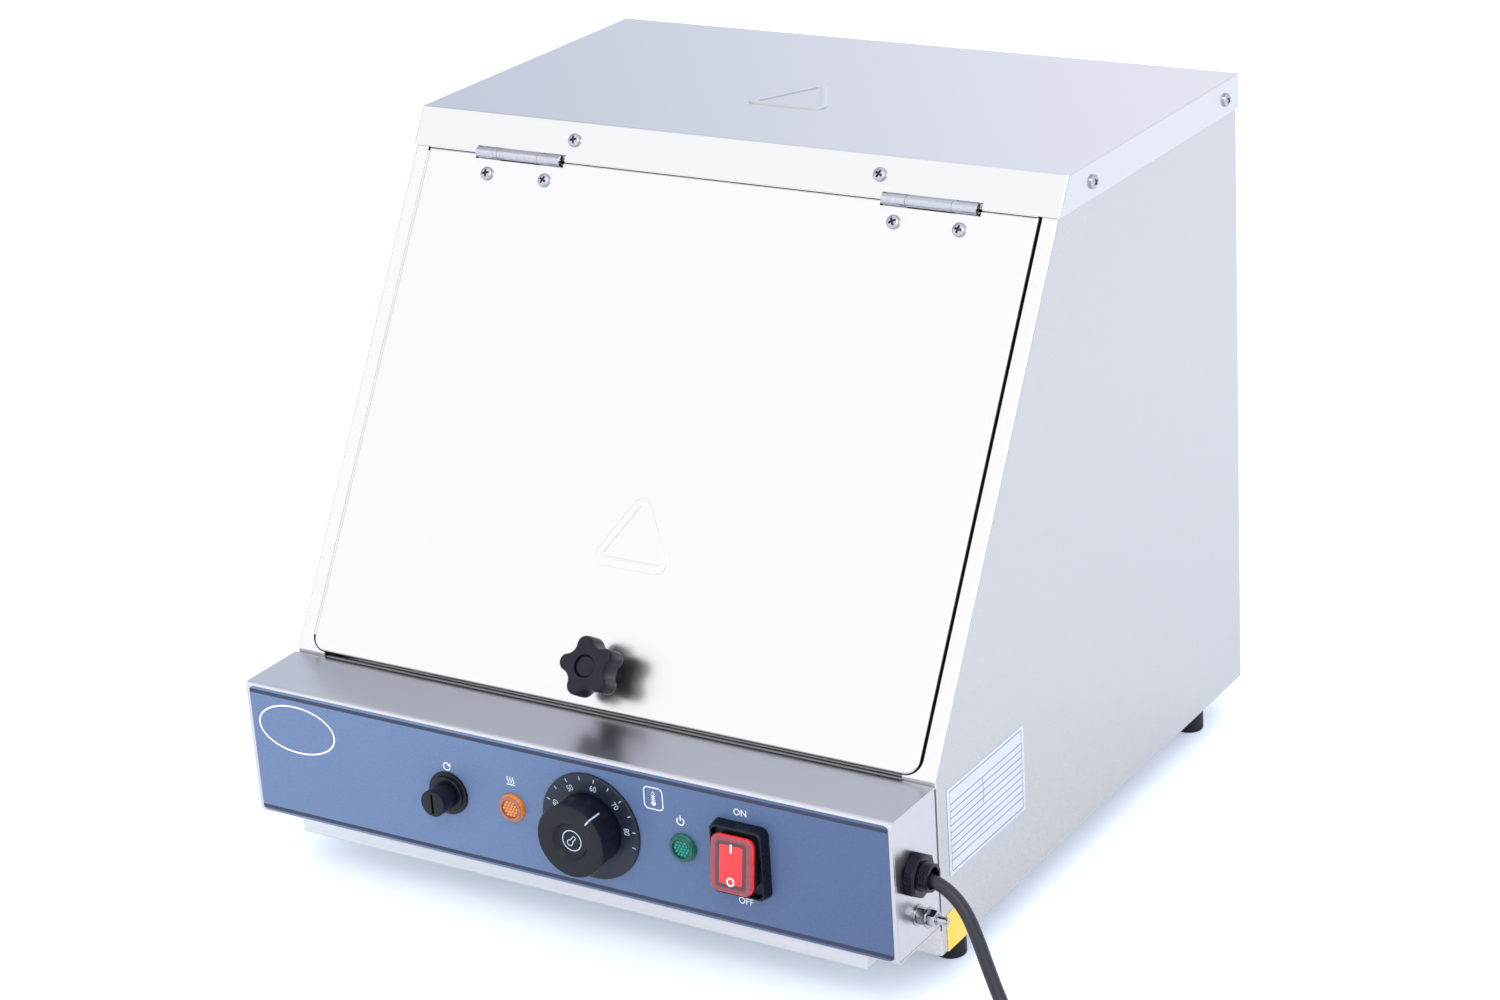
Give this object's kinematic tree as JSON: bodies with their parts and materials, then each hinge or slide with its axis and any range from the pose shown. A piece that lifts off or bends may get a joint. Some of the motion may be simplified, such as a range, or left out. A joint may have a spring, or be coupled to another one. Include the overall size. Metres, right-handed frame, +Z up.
{
  "type": "chip warmer",
  "caption": "Counter-top chip warmer: sloping hinged door, heated chamber with perforated deck, front control box with thermostat, reset and rocker, slide-out crumb tray, cord and plug.",
  "frame": {"origin": "bottom centre of the box round the appliance without its cord, on the counter", "axes": "+Z up, front with the controls towards -Y, +X towards the end with the cord gland"},
  "size_m": [0.5255, 0.6065, 0.3812],
  "materials": {
    "stainless": "brushed stainless sheet, grain across the width",
    "polished_steel": "bright polished steel fasteners and hinges",
    "galvanised": "plain galvanised steel sheet",
    "liner_steel": "smooth stainless liner",
    "wool": "mineral wool board",
    "element_sheath": "oxidised sheath of the element",
    "black_plastic": "black satin phenolic plastic",
    "black_gloss": "black moulded plastic",
    "film": "blue speckled printed film",
    "dial_black": "black dial with white numbers",
    "amber_lens": "amber faceted lens",
    "green_lens": "green faceted lens",
    "red_rocker": "translucent red rocker",
    "red_window": "bright red window",
    "grey_plastic": "light grey moulded plastic",
    "ceramic": "glazed ceramic block",
    "wire": "insulated wires",
    "brass": "plain brass",
    "rubber": "black rubber",
    "label": "thin printed plates",
    "cord_sheath": "black cord sheath"
  },
  "bodies": {
    "cabinet": {"back_panel": "stainless", "base_plate": "galvanised", "box_screws": "polished_steel", "chamber_liner": "liner_steel", "control_box_left_end": "stainless", "control_box_right_end": "stainless", "control_box_wrap": "stainless", "cord_coil": "cord_sheath", "cord_tail": "cord_sheath", "cover_screws": "polished_steel", "earth_nuts_washers": "brass", "earth_stud": "brass", "element_supports": "galvanised", "feet": "rubber", "foot_screws": "polished_steel", "front_sill": "stainless", "gland_body": "black_gloss", "gland_locknut": "black_gloss", "gland_seal": "rubber", "heat_lamp_lens": "amber_lens", "heating_element": "element_sheath", "hinge_frame_leaves": "polished_steel", "hinge_pins": "polished_steel", "insulation_slabs": "wool", "internal_wiring": "wire", "lamp_bodies": "grey_plastic", "left_side_panel": "stainless", "mains_plug": "black_gloss", "panel_overlay": "film", "perforated_deck": "liner_steel", "plug_pins": "brass", "power_cord": "cord_sheath", "power_lamp_lens": "green_lens", "reset_collar": "black_plastic", "right_side_panel": "stainless", "sensing_bulbs": "brass", "side_labels": "label", "switch_bezel": "black_gloss", "switch_body": "black_gloss", "terminal_block": "ceramic", "thermal_cutout": "brass", "thermostat_body": "galvanised", "thermostat_dial": "dial_black", "top_cover": "stainless", "tray_runners": "galvanised", "upper_front_rail": "galvanised"},
    "door": {"door_outer_skin": "stainless", "door_inner_skin": "liner_steel", "door_insulation": "wool", "hinge_door_leaves": "polished_steel", "door_screws": "polished_steel", "star_knob": "black_plastic", "star_knob_screw": "polished_steel"},
    "crumb_tray": {"crumb_tray": "stainless"},
    "thermostat_knob": {"thermostat_knob": "black_plastic", "thermostat_spindle": "brass"},
    "reset_cap": {"reset_cap": "black_plastic"},
    "reset_button": {"reset_button": "red_window"},
    "power_rocker": {"power_rocker": "red_rocker", "rocker_lens": "red_window"}
  },
  "joints": [
    {"name": "door_hinge", "type": "hinge", "parent": "cabinet", "child": "door", "pos_m": [-0.008, -0.00419, 0.36164], "axis": [-1, 0, 0], "range_deg": [0, 165]},
    {"name": "tray_slide", "type": "slide", "parent": "cabinet", "child": "crumb_tray", "axis": [0, -1, 0], "range_m": [0, 0.3]},
    {"name": "thermostat_turn", "type": "hinge", "parent": "cabinet", "child": "thermostat_knob", "pos_m": [0.0144, -0.1955, 0.07625], "axis": [0, -1, 0], "range_deg": [-47.7, 111.3]},
    {"name": "reset_cap_turn", "type": "hinge", "parent": "cabinet", "child": "reset_cap", "pos_m": [-0.0755, -0.1955, 0.07625], "axis": [0, -1, 0], "range_deg": [0, 360]},
    {"name": "reset_press", "type": "slide", "parent": "cabinet", "child": "reset_button", "axis": [0, 1, 0], "range_m": [0, 0.002], "stiffness_N_per_m": 1500},
    {"name": "power_switch", "type": "hinge", "parent": "cabinet", "child": "power_rocker", "pos_m": [0.105, -0.1985, 0.078], "axis": [1, 0, 0], "range_deg": [0, 16]}
  ]
}
